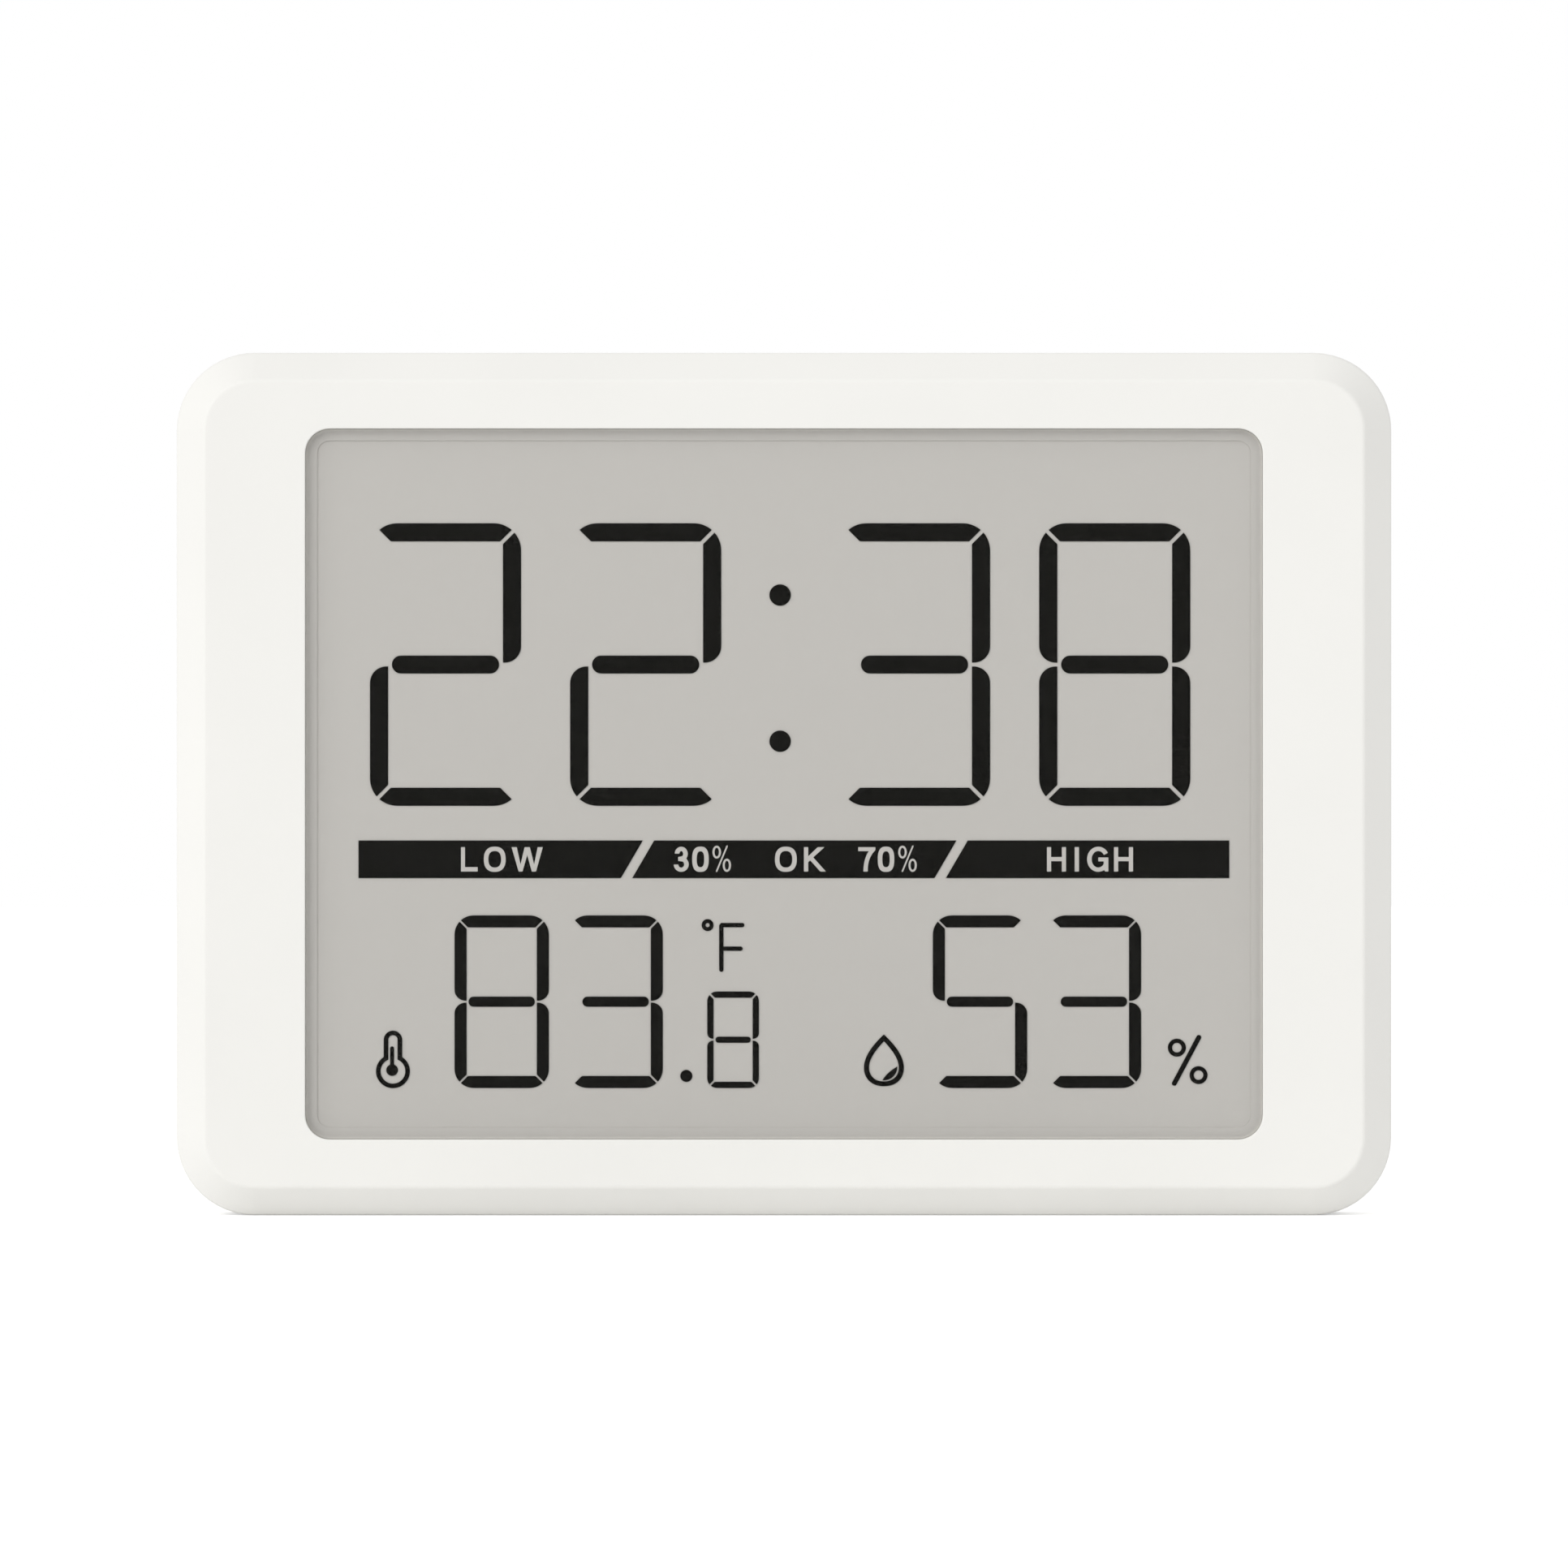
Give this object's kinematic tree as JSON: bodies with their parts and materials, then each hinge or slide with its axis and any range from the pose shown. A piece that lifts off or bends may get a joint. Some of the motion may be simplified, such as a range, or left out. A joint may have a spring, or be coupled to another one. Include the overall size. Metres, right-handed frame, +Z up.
{
  "type": "thermometer hygrometer clock",
  "caption": "Slim rectangular table and wall clock: recessed reflective display for time, temperature and humidity, fold-out rear stand, push buttons and a bayonet coin-cell door.",
  "frame": {"origin": "middle of the underside, on the surface that the clock stands on", "axes": "+X to the right as seen from the front, +Y from front to back, +Z up"},
  "size_m": [0.0986, 0.013, 0.07],
  "materials": {
    "white_plastic": "fine matt",
    "button_grey": "satin",
    "display_film": "matt anti-glare",
    "clear_glass": "clear",
    "display_grey": "matt reflective",
    "reflector_grey": "satin",
    "segment_black": "matt",
    "seal_resin": "satin",
    "board_green": "solder mask",
    "chip_black": "satin",
    "chip_brown": "matt",
    "switch_black": "matt",
    "cell_steel": "brushed",
    "screw_steel": "zinc plated",
    "nickel": "nickel plated"
  },
  "bodies": {
    "casing": {"front_shell": "white_plastic", "rear_cover": "white_plastic", "lcd_front_polarizer": "display_film", "lcd_front_glass": "clear_glass", "lcd_edge_seal": "seal_resin", "lcd_segments": "segment_black", "lcd_rear_glass": "display_grey", "lcd_reflector": "reflector_grey", "left_display_pins": "nickel", "right_display_pins": "nickel", "main_board": "board_green", "climate_sensor": "chip_black", "controller_blob": "chip_black", "timing_crystal": "nickel", "chip_components": "chip_brown", "switch_bodies": "switch_black", "coin_cell": "cell_steel", "cell_holder": "switch_black", "positive_contact": "nickel", "negative_contact": "nickel", "cover_screws": "screw_steel", "board_screws": "screw_steel", "magnets": "nickel"},
    "stand": {"stand": "white_plastic"},
    "battery_door": {"battery_door": "white_plastic"},
    "set_button": {"set_button": "button_grey", "set_switch_stem": "switch_black"},
    "up_button": {"up_button": "button_grey", "up_switch_stem": "switch_black"},
    "down_button": {"down_button": "button_grey", "down_switch_stem": "switch_black"}
  },
  "joints": [
    {"name": "stand_hinge", "type": "hinge", "parent": "casing", "child": "stand", "pos_m": [0, 0.0051, 0.03697], "axis": [1, 0, 0], "range_deg": [0, 40]},
    {"name": "battery_door_turn", "type": "hinge", "parent": "casing", "child": "battery_door", "pos_m": [-0.03148, 0.0063, 0.035], "axis": [0, 1, 0], "range_deg": [0, 40]},
    {"name": "set_press", "type": "slide", "parent": "casing", "child": "set_button", "axis": [0, -1, 0], "range_m": [0, 0.0005], "stiffness_N_per_m": 1200},
    {"name": "up_press", "type": "slide", "parent": "casing", "child": "up_button", "axis": [0, -1, 0], "range_m": [0, 0.0005], "stiffness_N_per_m": 1200},
    {"name": "down_press", "type": "slide", "parent": "casing", "child": "down_button", "axis": [0, -1, 0], "range_m": [0, 0.0005], "stiffness_N_per_m": 1200}
  ]
}
